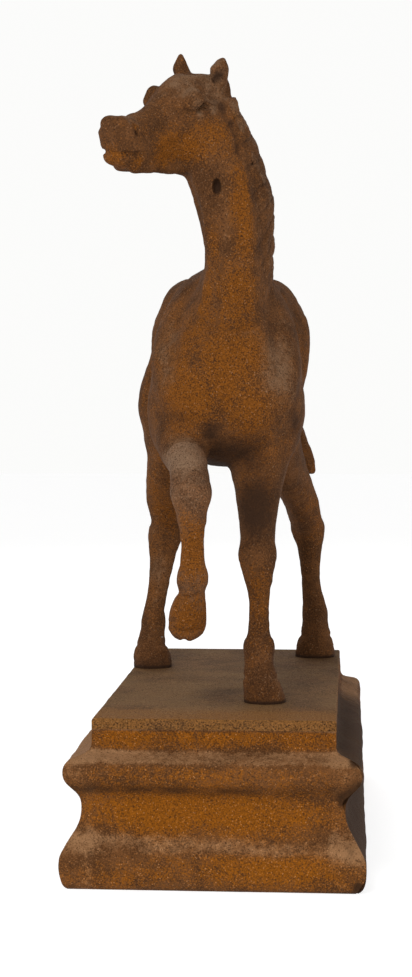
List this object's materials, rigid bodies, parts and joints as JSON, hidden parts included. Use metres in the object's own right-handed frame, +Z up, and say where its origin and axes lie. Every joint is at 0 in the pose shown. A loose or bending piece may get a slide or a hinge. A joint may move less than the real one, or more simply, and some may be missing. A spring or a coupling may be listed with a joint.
{
  "type": "horse statuette",
  "caption": "Rusted cast horse standing on a moulded rectangular plinth, with one foreleg raised and its head turned to its right.",
  "frame": {"origin": "centre of the plinth's underside, on the surface it stands on", "axes": "+Z up, the horse faces -Y, +X to the horse's left"},
  "size_m": [0.1694, 0.3504, 0.4715],
  "materials": {
    "horse_rust": "dry brown rust with orange patches",
    "mane_rust": "dry grey-brown rust",
    "raised_leg_rust": "dry orange rust",
    "deck_rust": "dusty brown rust",
    "plinth_rust": "dry orange and brown rust, dusty on its ledges",
    "hidden_steel": "dull, tarnished"
  },
  "bodies": {
    "root": {"torso": "horse_rust", "neck": "horse_rust", "head": "horse_rust", "left_ear": "horse_rust", "right_ear": "horse_rust", "mane": "mane_rust", "tail": "horse_rust", "left_foreleg": "horse_rust", "right_foreleg": "raised_leg_rust", "left_hind_leg": "horse_rust", "right_hind_leg": "horse_rust", "neck_sleeve": "hidden_steel", "head_sleeve": "hidden_steel", "mane_pins": "hidden_steel", "tail_dowel": "hidden_steel", "left_fore_dowel": "hidden_steel", "right_fore_dowel": "hidden_steel", "left_hind_dowel": "hidden_steel", "right_hind_dowel": "hidden_steel", "left_fore_stud": "hidden_steel", "left_hind_stud": "hidden_steel", "right_hind_stud": "hidden_steel", "left_fore_washer": "hidden_steel", "left_hind_washer": "hidden_steel", "right_hind_washer": "hidden_steel", "left_fore_nut": "hidden_steel", "left_hind_nut": "hidden_steel", "right_hind_nut": "hidden_steel", "deck_plate": "deck_rust", "front_panel": "plinth_rust", "rear_panel": "plinth_rust", "left_panel": "plinth_rust", "right_panel": "plinth_rust", "front_left_bracket": "hidden_steel", "front_right_bracket": "hidden_steel", "rear_left_bracket": "hidden_steel", "rear_right_bracket": "hidden_steel", "panel_screws": "hidden_steel", "deck_screws": "hidden_steel"}
  },
  "joints": []
}
